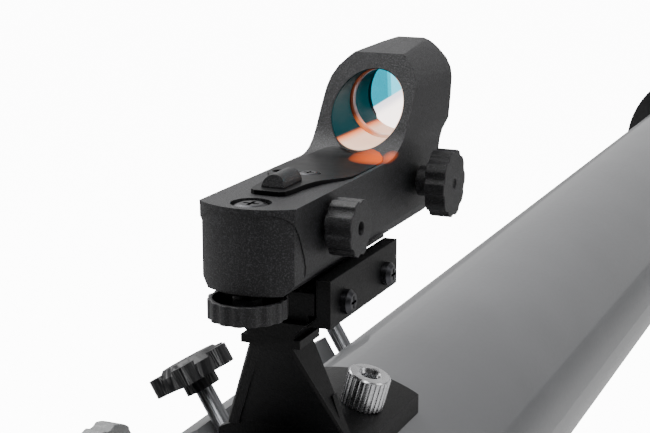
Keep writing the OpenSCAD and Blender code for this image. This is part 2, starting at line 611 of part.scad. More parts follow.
main_tube();
dew_shield();
objective_cell();
crown_lens();
flint_lens();
retaining_ring();
tube_baffles();
focuser_body();
drawtube();
focus_rack();
focus_pinion();
focus_knob_left();
focus_knob_right();
pinion_cover();
focuser_screws();
focus_lock_screw();
eyepiece_adapter();
adapter_thumbscrew();
diagonal_nose();
diagonal_housing();
diagonal_mirror();
diagonal_thumbscrew();
eyepiece_barrel();
eyepiece_body();
eyecup();
eyepiece_lenses();
finder_foot();
foot_studs();
foot_nut_right();
foot_nut_left();
finder_clamp_base();
finder_clamp_jaw();
clamp_screws();
finder_swivel();
finder_shell_left();
finder_shell_right();
finder_deck();
deck_screws();
led_hood();
led_emitter();
finder_lens();
brightness_knob();
azimuth_knob();
elevation_wheel();
finder_battery();
circuit_board();
dovetail_bar();
saddle_bracket();
star_knob_rear();
star_knob_front();
altitude_axle();
altitude_washers();
tension_knob();
side_arm();
arm_brace();
azimuth_board();
azimuth_pads();
azimuth_pivot();
ground_board();
feet();
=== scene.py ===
# %% [markdown]
# # A small telescope on a tabletop turntable
# The CAD model gives every part its place and size. This script gives the parts their looks:
# softened edges, moulded and machined surfaces, glass, light and a camera. It loads the model
# first and keeps its box, whose lowest point sets the floor.

# %% Load the frame
import json
import math

import bmesh
import bpy
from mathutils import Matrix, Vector


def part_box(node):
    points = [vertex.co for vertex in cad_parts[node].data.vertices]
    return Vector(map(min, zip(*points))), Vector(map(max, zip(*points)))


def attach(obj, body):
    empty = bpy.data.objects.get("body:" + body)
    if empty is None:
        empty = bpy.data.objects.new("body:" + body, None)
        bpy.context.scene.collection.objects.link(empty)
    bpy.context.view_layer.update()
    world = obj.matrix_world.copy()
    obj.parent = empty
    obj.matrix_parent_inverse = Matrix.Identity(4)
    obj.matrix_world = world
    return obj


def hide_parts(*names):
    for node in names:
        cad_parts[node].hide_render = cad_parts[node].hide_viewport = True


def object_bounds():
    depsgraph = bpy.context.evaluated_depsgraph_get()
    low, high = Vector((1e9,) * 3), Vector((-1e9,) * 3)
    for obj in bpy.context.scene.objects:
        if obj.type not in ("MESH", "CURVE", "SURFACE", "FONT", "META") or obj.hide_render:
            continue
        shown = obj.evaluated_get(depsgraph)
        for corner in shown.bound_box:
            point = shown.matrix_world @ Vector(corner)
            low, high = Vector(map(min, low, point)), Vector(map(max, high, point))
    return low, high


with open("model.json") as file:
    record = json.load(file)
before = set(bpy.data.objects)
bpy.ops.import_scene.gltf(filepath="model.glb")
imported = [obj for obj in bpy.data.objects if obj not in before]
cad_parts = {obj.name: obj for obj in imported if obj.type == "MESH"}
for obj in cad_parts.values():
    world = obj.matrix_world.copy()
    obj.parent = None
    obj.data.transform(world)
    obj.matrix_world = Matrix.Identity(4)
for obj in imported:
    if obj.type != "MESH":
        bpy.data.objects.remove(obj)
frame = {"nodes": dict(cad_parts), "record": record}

cad_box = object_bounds()
MM = 0.001
nodes = frame["nodes"]
body_of = {
    node: body
    for body, members in frame["record"]["behaviour"]["bodies"].items()
    for node in members
}

# %% [markdown]
# ## The tube axis
# Most sizes are known from the tube: its axis runs along Y, and the finder stands on top of
# it. One vector from the axis to a point, in millimetres, reads better than world
# coordinates, so a small helper turns one into the other.

# %% Places measured from the tube axis
tube_low, tube_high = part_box("main_tube")
TUBE_R = (tube_high.x - tube_low.x) / 2
AXIS_Z = (tube_low.z + tube_high.z) / 2


def from_axis(x, y, z):
    """A point given in millimetres from the tube axis, in metres in the frame."""
    return Vector((x * MM, y * MM, AXIS_Z + z * MM))


print("tube radius", round(TUBE_R / MM, 2), "mm, axis at", round(AXIS_Z, 4), "m")

# %% [markdown]
# ## Colours and nodes
# Colours are picked as sRGB hex values, the way a paint chart gives them. Blender's shaders
# work in linear light, so one function converts them. One more function adds any shader node
# with its settings and its links, which keeps each material short enough to read. An input
# takes either a plain value or another node's output, so both are given in one list.

# %% Colour and node helpers
def linear(hex_colour):
    """An sRGB hex colour as the linear RGBA that a shader socket takes."""
    channels = [int(hex_colour[i : i + 2], 16) / 255 for i in (1, 3, 5)]
    straight = [c / 12.92 if c <= 0.04045 else ((c + 0.055) / 1.055) ** 2.4 for c in channels]
    return (*straight, 1.0)


def plug(node, inputs):
    """Sets a node's inputs: an output of another node is wired in, a plain value is stored."""
    for key, value in inputs.items():
        if isinstance(value, bpy.types.NodeSocket):
            node.id_data.links.new(value, node.inputs[key])
        else:
            node.inputs[key].default_value = value


def add(tree, kind, inputs=None, stops=(), **settings):
    """Adds one node: settings are its properties, stops the two ends of a colour ramp."""
    node = tree.nodes.new(kind)
    for key, value in settings.items():
        setattr(node, key, value)
    for index, (place, colour) in enumerate(stops):
        node.color_ramp.elements[index].position = place
        node.color_ramp.elements[index].color = colour
    plug(node, inputs or {})
    return node


print("mid grey as linear light:", round(linear("#808080")[0], 3))

# %% [markdown]
# ## Noise, colour and relief
# No real surface has one flat colour and one even gloss. Each finish here is made in the same
# two steps. The first lets the colour drift between two near shades, in clouds some
# millimetres wide. The second takes a finer noise, at the size of the real texture, and uses
# it twice: as a change in gloss and as a relief that catches the light. A third helper paints
# another colour over a finished material wherever a mask is 1. The Mix node has float, vector
# and colour sockets with the same names, so its colour sockets are picked by number.

# %% The steps that every finish is made from
CLOUD_STOPS = (0.3, 0.7)
NOISE_ROUGHNESS = 0.6
MIX_BELOW, MIX_ABOVE, MIX_RESULT = 6, 7, 2


def grain(tree, size_mm, detail=2.0, stretch=(1, 1, 1)):
    """Noise whose features are size_mm across, on the object's own coordinates."""
    place = add(tree, "ShaderNodeTexCoord").outputs["Object"]
    turned = add(tree, "ShaderNodeMapping", {"Vector": place, "Scale": stretch})
    noise = add(
        tree,
        "ShaderNodeTexNoise",
        {
            "Vector": turned.outputs["Vector"],
            "Scale": 1 / (size_mm * MM),
            "Detail": detail,
            "Roughness": NOISE_ROUGHNESS,
        },
    )
    return noise.outputs["Fac"]


def clouded(name, values, colours, cloud):
    """A material whose colour drifts between two hex colours; cloud is (mm, detail) of noise."""
    material = bpy.data.materials.new(name)
    material.use_nodes = True
    tree = material.node_tree
    drift = add(
        tree,
        "ShaderNodeValToRGB",
        {"Fac": grain(tree, *cloud)},
        stops=zip(CLOUD_STOPS, map(linear, colours)),
    )
    plug(tree.nodes["Principled BSDF"], {**values, "Base Color": drift.outputs["Color"]})
    return material


def textured(material, fine, rough, strength, depth_mm):
    """Gives a material uneven gloss and a relief depth_mm deep, from noise of (mm, detail)."""
    tree = material.node_tree
    texture = grain(tree, *fine)
    gloss = add(
        tree, "ShaderNodeMapRange", {"Value": texture, "To Min": rough[0], "To Max": rough[1]}
    )
    relief = add(
        tree,
        "ShaderNodeBump",
        {"Height": texture, "Strength": strength, "Distance": depth_mm * MM},
    )
    plug(
        tree.nodes["Principled BSDF"],
        {"Roughness": gloss.outputs["Result"], "Normal": relief.outputs["Normal"]},
    )
    return material


def base_of(material):
    """The output that a material's base colour comes from."""
    return material.node_tree.nodes["Principled BSDF"].inputs["Base Color"].links[0].from_socket


def paint_over(material, mask, colour):
    """Covers a material's base colour with a hex colour where mask is 1."""
    cover = add(
        material.node_tree,
        "ShaderNodeMix",
        {"Factor": mask, MIX_BELOW: base_of(material), MIX_ABOVE: linear(colour)},
        data_type="RGBA",
    )
    plug(
        material.node_tree.nodes["Principled BSDF"],
        {"Base Color": cover.outputs[MIX_RESULT]},
    )


print("finishes drift between", CLOUD_STOPS, "of their noise")

# %% [markdown]
# ## Moulded plastics
# The finder, its foot and the knobs are injection moulded ABS. The steel mould was spark
# eroded, which leaves a fine sandy texture: the surface scatters light and looks dark grey
# where it faces a lamp. A real spark texture is about 0.1 mm, too fine to show, so it is
# drawn at 0.45 mm. Scattered grains are painted lighter than the rest, from a second noise:
# they are painted glints, grains that catch a lamp, because an even black reads as paint.

# %% ABS with a spark texture
ABS_IOR = 1.53
SPARK_MM = 0.45
GLINT_STOPS = (0.5, 0.66)
BLACK, WHITE = (0, 0, 0, 1), (1, 1, 1, 1)


def spark_abs(name, colours=("#0e0e10", "#161618"), size=SPARK_MM, glint="#424246", gloss=0.5):
    """Sandy moulded plastic with grains of size mm, and painted glints: scattered grains
    coloured glint.
    """
    material = clouded(
        name, {"IOR": ABS_IOR, "Specular IOR Level": gloss}, colours, cloud=(14, 2)
    )
    textured(material, fine=(size, 3), rough=(0.3, 0.6), strength=0.7, depth_mm=0.2)
    tree = material.node_tree
    # Painted highlight: scattered grains in the glint colour stand for grains that catch a lamp.
    glints = add(
        tree,
        "ShaderNodeValToRGB",
        {"Fac": grain(tree, size * 0.8)},
        stops=zip(GLINT_STOPS, (BLACK, WHITE)),
    )
    paint_over(material, glints.outputs["Color"], glint)
    return material


ABS = spark_abs("black ABS, spark textured")
FOOT_ABS = spark_abs(
    "black ABS, foot", ("#040405", "#070708"), glint="#101012", gloss=0.24
)
KNOB_ABS = spark_abs("black ABS, knob", ("#0d0d0e", "#151516"), size=0.35)
GREY_ABS = spark_abs(
    "light grey ABS, hub", ("#8b8c8d", "#9c9d9e"), size=0.9, glint="#b2b3b4"
)
print("materials:", ABS.name, FOOT_ABS.name, KNOB_ABS.name, GREY_ABS.name)

# %% [markdown]
# ## The polished deck
# The deck is the same plastic from a polished mould. Light that comes back off the window's
# orange side falls on its front right corner as a soft orange pool, and the shell beside it
# catches the pool's edge. The pool is part of the colour here: a spherical gradient centred
# on the corner mixes orange into the black, and a weak glow keeps it clear on the dark deck.

# %% Polished ABS with a pool of light
POOL_GLOW = 0.3
POOL_ON_DECK = from_axis(10, -83.2, 110.8)
POOL_ON_SHELL = from_axis(12.9, -82.5, 110.9)


def soft_pool(tree, centre, size, power):
    """1 at centre, falling to 0 at the edge of an ellipsoid of the given half sizes, in mm."""
    place = add(tree, "ShaderNodeTexCoord").outputs["Object"]
    mapping = add(
        tree,
        "ShaderNodeMapping",
        {"Vector": place, "Location": centre, "Scale": [s * MM for s in size]},
        vector_type="TEXTURE",
    )
    ball = add(
        tree,
        "ShaderNodeTexGradient",
        {"Vector": mapping.outputs["Vector"]},
        gradient_type="SPHERICAL",
    )
    return add(
        tree, "ShaderNodeMath", {0: ball.outputs["Fac"], 1: power}, operation="POWER"
    ).outputs[0]


def pool_on(material, centre, size, power):
    """Mixes a soft pool of orange light into a finished material."""
    tree = material.node_tree
    pool = soft_pool(tree, centre, size, power)
    paint_over(material, pool, "#ff6a1c")
    glow = add(
        tree,
        "ShaderNodeMix",
        {"Factor": pool, MIX_BELOW: BLACK, MIX_ABOVE: linear("#ff6420")},
        data_type="RGBA",
    )
    plug(
        tree.nodes["Principled BSDF"],
        {"Emission Color": glow.outputs[MIX_RESULT], "Emission Strength": POOL_GLOW},
    )
    return material


polished_abs = clouded(
    "black ABS, polished",
    {"IOR": ABS_IOR, "Specular IOR Level": 0.18},
    ("#08080a", "#0d0d0f"),
    cloud=(3, 3),
)
textured(polished_abs, fine=(3, 3), rough=(0.34, 0.46), strength=0.1, depth_mm=0.05)
DECK_ABS = pool_on(polished_abs, POOL_ON_DECK, size=(8.5, 8, 7), power=0.6)
shell_abs = spark_abs("black ABS, finder shell")
SHELL_ABS = pool_on(shell_abs, POOL_ON_SHELL, size=(2.6, 6.5, 1.7), power=0.9)
print("materials:", DECK_ABS.name, SHELL_ABS.name)

# %% [markdown]
# ## Metals
# Bright metals are told apart by how they were made. Knurled nuts are turned and then nickel
# plated, so they are bright with a faint haze. The drawtube is anodised aluminium with fine
# turning rings. Screws and rods are zinc plated steel, duller and a little grey, and the
# smallest screws are blackened. All of them show turning marks and faint smudges.

# %% Nickel, aluminium and steel
SMUDGE_MM = 9


def turned_metal(name, colours, rough, ring_mm, along=(1, 1, 1)):
    """Metal with fine marks: along stretches the marks, ring_mm is their spacing."""
    material = clouded(name, {"Metallic": 1.0}, colours, cloud=(SMUDGE_MM, 2))
    limits = (rough * 0.7, rough * 1.35)
    return textured(
        material, fine=(ring_mm, 2, along), rough=limits, strength=0.12, depth_mm=0.03
    )


NICKEL = turned_metal("nickel plate", ("#d6d6d8", "#efeff1"), rough=0.27, ring_mm=0.5)
ALUMINIUM = turned_metal(
    "anodised aluminium", ("#a6a8ab", "#c2c4c7"), rough=0.24, ring_mm=0.6, along=(0.2, 4, 0.2)
)
ZINC_STEEL = turned_metal(
    "zinc plated steel", ("#77787a", "#94969a"), rough=0.3, ring_mm=0.5
)
BLACK_STEEL = turned_metal(
    "black oxide steel", ("#39393b", "#505054"), rough=0.34, ring_mm=0.5
)
MIRROR = turned_metal("aluminised mirror", ("#dadbdd", "#e6e7e9"), rough=0.03, ring_mm=2)
print("metals:", [m.name for m in (NICKEL, ALUMINIUM, ZINC_STEEL, BLACK_STEEL, MIRROR)])

# %% [markdown]
# ## Painted metal
# The tube is rolled aluminium with a gloss grey lacquer: a grey base under a clear coat,
# with the slight waviness that a rolled and sprayed sheet has. Castings such as the focuser
# are sprayed satin black, which shows a fine orange peel.

# %% Lacquers
LACQUER = textured(
    clouded(
        "gloss grey lacquer",
        {"IOR": 1.5, "Coat Weight": 0.5, "Coat Roughness": 0.05},
        ("#6a6b6e", "#727376"),
        cloud=(60, 2),
    ),
    fine=(1.6, 2),
    rough=(0.3, 0.4),
    strength=0.06,
    depth_mm=0.05,
)


def satin_paint(name, colours):
    """A sprayed satin coat with an orange peel of about a millimetre."""
    material = clouded(name, {"IOR": 1.5, "Coat Weight": 0.15}, colours, cloud=(25, 2))
    return textured(
        material, fine=(0.9, 2), rough=(0.28, 0.42), strength=0.15, depth_mm=0.05
    )


SATIN = satin_paint("satin black paint", ("#171718", "#202022"))
GREY_CAST = satin_paint("grey paint, saddle", ("#6f7072", "#7b7c7e"))
print("paints:", LACQUER.name, SATIN.name, GREY_CAST.name)

# %% [markdown]
# ## Board, rubber, PTFE and electronics
# The turntable is particle board covered in a black laminate that is pressed with a wood
# grain. The grain runs one way, so the noise is stretched along it. Rubber is darker and
# duller than the plastic; PTFE pads are milky white; the finder's circuit board is green.

# %% The other solid finishes
LAMINATE = textured(
    clouded(
        "black laminate", {"IOR": 1.5}, ("#1a1a1b", "#2a2a2b"), cloud=(18, 3, (1, 0.12, 1))
    ),
    fine=(1.4, 4, (1, 0.06, 1)),
    rough=(0.35, 0.6),
    strength=0.35,
    depth_mm=0.15,
)
GLOSS_SPREAD = 0.08


def mottled(name, colours, rough, size, depth):
    """A plain moulded material whose colour, gloss and relief follow the same spots."""
    material = clouded(name, {"IOR": 1.45}, colours, cloud=(size, 3))
    limits = (rough - GLOSS_SPREAD, rough + GLOSS_SPREAD)
    return textured(material, fine=(size, 3), rough=limits, strength=0.2, depth_mm=depth)


RUBBER = mottled("black rubber", ("#131314", "#1c1c1d"), rough=0.75, size=0.9, depth=0.1)
PTFE = mottled("white PTFE", ("#d9d8d2", "#e7e6e1"), rough=0.4, size=4, depth=0.02)
BOARD = mottled(
    "green circuit board", ("#0c3d22", "#155231"), rough=0.35, size=2, depth=0.02
)
LED_RED = mottled("red LED epoxy", ("#7d0f0f", "#a31818"), rough=0.12, size=1, depth=0.01)
print("finishes:", [m.name for m in (LAMINATE, RUBBER, PTFE, BOARD, LED_RED)])

# %% [markdown]
# ## Glass
# The telescope's lenses are clear crown and flint glass with a thin coating. The finder's
# window is a dichroic mirror: thin layers on the glass send red light back to the eye and let
# the rest through. What comes through is cyan, and turns pale and pink where the layers are
# met at a steeper angle. That pale and pink is painted light here, patches fixed in the
# glass's colour. The patches have straight borders, so each is cut out by a plane.

# %% Clear glass, and a mask made from a plane
GLASS_IOR = 1.52
GLASS = clouded(
    "coated optical glass",
    {"IOR": GLASS_IOR, "Roughness": 0.02, "Transmission Weight": 1.0, "Coat Weight": 0.2},
    ("#d9efe6", "#f4fbf8"),
    cloud=(30, 1),
)


def side_of(tree, point, normal, soft_mm):
    """0 behind a plane through point, 1 in front of it, and a soft step soft_mm wide."""
    place = add(tree, "ShaderNodeTexCoord").outputs["Object"]
    moved = add(tree, "ShaderNodeVectorMath", {0: place, 1: point}, operation="SUBTRACT")
    depth = add(
        tree,
        "ShaderNodeVectorMath",
        {0: moved.outputs["Vector"], 1: Vector(normal).normalized()},
        operation="DOT_PRODUCT",
    )
    half_step = soft_mm * MM / 2
    return add(
        tree,
        "ShaderNodeMapRange",
        {"Value": depth.outputs["Value"], "From Min": -half_step, "From Max": half_step},
        interpolation_type="SMOOTHSTEP",
    ).outputs["Result"]


print("glass:", GLASS.name)

# %% The tinted window
RIM_MM = 0.95
bore_low, bore_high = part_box("finder_lens")
BORE_X = (bore_low.x + bore_high.x) / 2 / MM
BORE_Z = (bore_low.z + bore_high.z) / 2 / MM - AXIS_Z / MM
LENS_Y = bore_low.y / MM
BORE_R = (bore_high.x - bore_low.x) / 2 / MM - RIM_MM


def in_bore(x, y, z):
    """A point in millimetres from the axis of the window, at y along the tube."""
    return from_axis(BORE_X + x, y, BORE_Z + z)


def patched(material, patches):
    """Paints patches over a material: each is a plane's x and z, normal, step and colour."""
    for x, z, normal, soft_mm, colour in patches:
        mask = side_of(material.node_tree, in_bore(x, 0, z), normal, soft_mm)
        paint_over(material, mask, colour)


WINDOW = clouded(
    "dichroic coated glass",
    {"IOR": GLASS_IOR, "Roughness": 0.03, "Transmission Weight": 1.0},
    ("#005f6d", "#006474"),
    cloud=(9, 2),
)
# The pale and pink patches are painted light: the look of the glass at this angle, fixed in its
# colour.
patched(
    WINDOW,
    (
        (-3.9, 0, (1, 0, 0.05), 0.4, "#3f9db0"),
        (-5.2, -1.7, (0.547, 0, -0.84), 0.5, "#b8b3bb"),
        (-5.5, -4.6, (0.54, 0, -0.84), 3.0, "#f6e9e4"),
    ),
)
print("glass:", WINDOW.name, "window radius", round(BORE_R, 2), "mm")

# %% [markdown]
# ## The tube's inside
# The outside of the tube is lacquered, but its inside is sprayed dull black so that stray
# light dies in it. It is one sheet of metal, so one material tells inside from outside by
# the distance from the tube's axis.

# %% Black inside the tube
SHEET_INSIDE = TUBE_R - 0.6 * MM


def black_inside(material, radius):
    """Paints dull black over a tube's material where it is nearer the axis than radius."""
    tree = material.node_tree
    place = add(tree, "ShaderNodeTexCoord").outputs["Object"]
    flat = add(
        tree,
        "ShaderNodeMapping",
        {"Vector": place, "Location": (0, 0, -AXIS_Z), "Scale": (1, 0, 1)},
    )
    reach = add(
        tree, "ShaderNodeVectorMath", {0: flat.outputs["Vector"]}, operation="LENGTH"
    )
    inside = add(
        tree,
        "ShaderNodeMath",
        {0: reach.outputs["Value"], 1: radius},
        operation="LESS_THAN",
    )
    paint_over(material, inside.outputs[0], "#0b0b0c")


black_inside(LACQUER, SHEET_INSIDE)
print("the lacquer turns black inside", round(SHEET_INSIDE / MM, 2), "mm")

# %% [markdown]
# ## Knobs moulded on a steel rod
# The saddle knobs are black plastic heads moulded on a steel rod, one part in use. One
# material tells the two apart by the distance from the rod's axis, which leans with the
# saddle, so the end of the rod also shows as steel at the bottom of the head's recess.

# %% Steel near the axis, plastic outside it
LEAN = math.radians(31)
ROD_LINE = Vector((-math.sin(LEAN), 0, math.cos(LEAN)))
ROD_REACH_MM = 3.2
ROD_X, ROD_Z = -38.57, -23.18
ROD_Y = {"rear": -50, "front": 50}


def knob_on_rod(name, through, radius):
    """Plastic outside radius mm from a line through a point, steel inside it."""
    material = clouded(name, {"IOR": ABS_IOR}, ("#0e0e10", "#1c1c1f"), cloud=(0.4, 3))
    textured(material, fine=(0.4, 3), rough=(0.3, 0.42), strength=0.2, depth_mm=0.08)
    tree = material.node_tree
    place = add(tree, "ShaderNodeTexCoord").outputs["Object"]
    moved = add(tree, "ShaderNodeVectorMath", {0: place, 1: through}, operation="SUBTRACT")
    across = add(
        tree,
        "ShaderNodeVectorMath",
        {0: moved.outputs["Vector"], 1: ROD_LINE},
        operation="CROSS_PRODUCT",
    )
    reach = add(
        tree, "ShaderNodeVectorMath", {0: across.outputs["Vector"]}, operation="LENGTH"
    )
    steel = add(
        tree,
        "ShaderNodeMath",
        {0: reach.outputs["Value"], 1: radius * MM},
        operation="LESS_THAN",
    ).outputs[0]
    paint_over(material, steel, "#8d8e91")
    plug(tree.nodes["Principled BSDF"], {"Metallic": steel})
    return material


knob_finishes = {
    end: knob_on_rod("black ABS on steel rod, " + end, from_axis(ROD_X, y, ROD_Z), ROD_REACH_MM)
    for end, y in ROD_Y.items()
}
print("knob materials:", [m.name for m in knob_finishes.values()])

# %% [markdown]
# ## Giving every CAD part its finish
# A CAD part whose shape is right stays as it is and only gets a material.

# %% A finish for each CAD node
finishes = {
    "main_tube": LACQUER,
    "dew_shield": SATIN,
    "objective_cell": SATIN,
    "crown_lens": GLASS,
    "flint_lens": GLASS,
    "retaining_ring": SATIN,
    "tube_baffles": SATIN,
    "focuser_body": SATIN,
    "drawtube": ALUMINIUM,
    "focus_rack": ZINC_STEEL,
    "focus_pinion": ZINC_STEEL,
    "focus_knob_left": RUBBER,
    "focus_knob_right": RUBBER,
    "pinion_cover": SATIN,
    "focuser_screws": BLACK_STEEL,
    "focus_lock_screw": NICKEL,
    "eyepiece_adapter": SATIN,
    "adapter_thumbscrew": NICKEL,
    "diagonal_nose": ALUMINIUM,
    "diagonal_housing": ABS,
    "diagonal_mirror": MIRROR,
    "diagonal_thumbscrew": NICKEL,
    "eyepiece_barrel": NICKEL,
    "eyepiece_body": SATIN,
    "eyecup": RUBBER,
    "eyepiece_lenses": GLASS,
    "finder_foot": FOOT_ABS,
    "foot_studs": ZINC_STEEL,
    "foot_nut_right": NICKEL,
    "foot_nut_left": NICKEL,
    "finder_clamp_base": FOOT_ABS,
    "finder_clamp_jaw": FOOT_ABS,
    "clamp_screws": BLACK_STEEL,
    "finder_swivel": FOOT_ABS,
    "finder_shell_left": SHELL_ABS,
    "finder_shell_right": SHELL_ABS,
    "finder_deck": DECK_ABS,
    "deck_screws": BLACK_STEEL,
    "led_hood": KNOB_ABS,
    "led_emitter": LED_RED,
    "finder_lens": WINDOW,
    "brightness_knob": KNOB_ABS,
    "azimuth_knob": KNOB_ABS,
    "elevation_wheel": KNOB_ABS,
    "finder_battery": ZINC_STEEL,
    "circuit_board": BOARD,
    "dovetail_bar": SATIN,
    "saddle_bracket": GREY_CAST,
    "star_knob_rear": knob_finishes["rear"],
    "star_knob_front": knob_finishes["front"],
    "altitude_axle": ZINC_STEEL,
    "altitude_washers": PTFE,
    "tension_knob": GREY_ABS,
    "side_arm": LAMINATE,
    "arm_brace": LAMINATE,
    "azimuth_board": LAMINATE,
    "azimuth_pads": PTFE,
    "azimuth_pivot": ZINC_STEEL,
    "ground_board": LAMINATE,
    "feet": RUBBER,
}
for node, finish in finishes.items():
    mesh = nodes[node].data
    mesh.materials.clear()
    mesh.materials.append(finish)
print(len(finishes), "of", len(nodes), "nodes have a finish")

# %% [markdown]
# ## Softened edges
# No real moulding or board has a perfectly sharp edge. A thin bright line runs along each
# edge where a small radius catches the light, and the eye misses it when it isn't there.
# The copy of a CAD mesh is merged, its flat faces are joined, and then each edge sharper
# than a set angle gets a small bevel. Big faces keep their own direction in the shading, so
# that they stay flat beside the rounded edges.

# %% From a bmesh to a finished piece
FACE_WEIGHT = 60


def finished(shape, name, material, crease=30, flat=False):
    """A bmesh as an object, shaded smooth up to crease degrees; flat keeps big faces flat."""
    bmesh.ops.triangulate(
        shape, faces=[f for f in shape.faces if len(f.verts) > 4], ngon_method="EAR_CLIP"
    )
    mesh = bpy.data.meshes.new(name)
    shape.to_mesh(mesh)
    shape.free()
    mesh.materials.append(material)
    mesh.shade_smooth()
    mesh.set_sharp_from_angle(angle=math.radians(crease))
    piece = bpy.data.objects.new(name, mesh)
    bpy.context.scene.collection.objects.link(piece)
    if flat:
        even = piece.modifiers.new("even_normals", "WEIGHTED_NORMAL")
        even.keep_sharp = True
        even.weight = FACE_WEIGHT
    return piece


print("big faces weigh", FACE_WEIGHT, "in the shading")

# %% A softened copy of a CAD node
MERGE = 0.002 * MM
FLAT_ANGLE = math.radians(0.4)
SHARP_ANGLE = math.radians(32)


def softened(node, width):
    """A copy of a CAD node with its sharp edges rounded by width mm, which stands for it."""
    shape = bmesh.new()
    shape.from_mesh(nodes[node].data)
    bmesh.ops.remove_doubles(shape, verts=shape.verts, dist=MERGE)
    bmesh.ops.dissolve_limit(
        shape, angle_limit=FLAT_ANGLE, verts=shape.verts, edges=shape.edges
    )
    edges = [
        e for e in shape.edges if e.is_manifold and e.calc_face_angle(0) > SHARP_ANGLE
    ]
    bmesh.ops.bevel(
        shape,
        geom=edges,
        offset=width * MM,
        offset_type="OFFSET",
        segments=2,
        profile=0.5,
        affect="EDGES",
        clamp_overlap=True,
        material=-1,
    )
    piece = finished(shape, node + "_soft", finishes[node], crease=40, flat=True)
    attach(piece, body_of[node])
    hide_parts(node)
    return piece


soft_edges = {
    "finder_shell_left": 0.3,
    "finder_shell_right": 0.3,
    "finder_deck": 0.3,
    "led_hood": 0.3,
    "finder_foot": 0.35,
    "finder_clamp_base": 0.3,
    "finder_clamp_jaw": 0.3,
    "finder_swivel": 0.3,
    "azimuth_knob": 0.3,
    "brightness_knob": 0.3,
    "elevation_wheel": 0.25,
    "foot_nut_right": 0.2,
    "foot_nut_left": 0.2,
    "saddle_bracket": 0.6,
    "star_knob_rear": 0.5,
    "star_knob_front": 0.5,
    "tension_knob": 0.8,
    "side_arm": 1.0,
    "arm_brace": 0.8,
    "azimuth_board": 1.0,
    "ground_board": 1.0,
    "dovetail_bar": 0.5,
    "focuser_body": 0.4,
    "diagonal_housing": 0.7,
    "dew_shield": 0.4,
}
for node, width in soft_edges.items():
    piece = softened(node, width)
    print(node, len(piece.data.polygons), "faces")

# %% [markdown]
# ## The bore of the window
# Behind the window's rim is a polished bore with a step in it: a narrow dark groove, a short
# bright ring and a second, deeper bore. Its wall mirrors the coloured glass, so it is teal
# at the left, and cream with an orange border at the bottom. That reflection is painted
# here: its patches also glow, because paint alone would not show in the shade of the hood.

# %% The finish of the bore
def glowing(material, patches, strength):
    """Paints patches over a material and lets its whole colour glow."""
    patched(material, patches)
    plug(
        material.node_tree.nodes["Principled BSDF"],
        {"Emission Color": base_of(material), "Emission Strength": strength},
    )
    return material


BORE = glowing(
    clouded(
        "polished ABS, window bore",
        {"Roughness": 0.5, "Specular IOR Level": 0.03},
        ("#010d10", "#021316"),
        cloud=(5, 2),
    ),
    (
        (0, -2.5, (-0.5, 0, -1), 9, "#032a2f"),
        (-6.5, -7.7, (0.75, 0, -0.6), 1.6, "#ee7a3c"),
        (-5.4, -8.4, (0.75, 0, -0.6), 3.2, "#f5cdb2"),
    ),
    strength=1.3,
)
# The ring's orange and cream patches are painted reflection, and its whole colour glows: painted
# light on a part that is no lamp.
RING = glowing(
    clouded(
        "bore ring, painted reflection",
        {"Roughness": 0.3, "Specular IOR Level": 0.25},
        ("#3a1608", "#562410"),
        cloud=(4, 2),
    ),
    (
        (-8, -5.6, (0.2, 0, -1), 4, "#f08a50"),
        (-2, -9, (0.75, 0, -0.6), 4, "#f4c9b0"),
    ),
    strength=0.5,
)
print("materials:", BORE.name, RING.name)

# %% [markdown]
# ## Spinning the bore's wall
# A bore is round like turned work, so its wall is made as on a lathe: a closed profile of a
# few points is spun once round the window's axis. The outer sleeve is made too long, and its
# end is cut off along the slanted face of the hood and closed again.

# %% A spun sleeve, and a cut along a plane
SPIN_STEPS = 96
SEAM = 0.001 * MM


def spun_sleeve(profile):
    """A closed wall from (y, radius) points in mm, spun round the window's axis."""
    shape = bmesh.new()
    points = [shape.verts.new(in_bore(radius, y, 0)) for y, radius in profile]
    edges = [shape.edges.new((a, b)) for a, b in zip(points, points[1:] + points[:1])]
    bmesh.ops.spin(
        shape,
        geom=points + edges,
        cent=in_bore(0, 0, 0),
        axis=(0, 1, 0),
        angle=math.tau,
        steps=SPIN_STEPS,
        use_merge=True,
    )
    bmesh.ops.remove_doubles(shape, verts=shape.verts, dist=SEAM)
    bmesh.ops.recalc_face_normals(shape, faces=shape.faces)
    return shape


def cut_off(shape, point, normal):
    """Cuts away what is in front of a plane, and closes the cut."""
    cut = bmesh.ops.bisect_plane(
        shape,
        geom=shape.verts[:] + shape.edges[:] + shape.faces[:],
        plane_co=point,
        plane_no=normal,
        clear_outer=True,
    )
    edges = [e for e in cut["geom_cut"] if isinstance(e, bmesh.types.BMEdge)]
    bmesh.ops.bridge_loops(shape, edges=edges)
    bmesh.ops.recalc_face_normals(shape, faces=shape.faces)


print("the bore is spun in", SPIN_STEPS, "steps")

# %% The three pieces of the bore
HOOD_END_Y = -84
STEP_Y = -56.3
RING_END_Y = -53.25
INNER_Y = -53.2
HOOD_FACE = from_axis(0, -71.9, 117.4)
HOOD_NORMAL = (0, -0.815, 0.579)
WALL_OUT = BORE_R - 0.03
SLEEVE_IN = BORE_R - 0.22
BEFORE_LENS_Y = LENS_Y - 0.4
RING_CORNER = 0.5

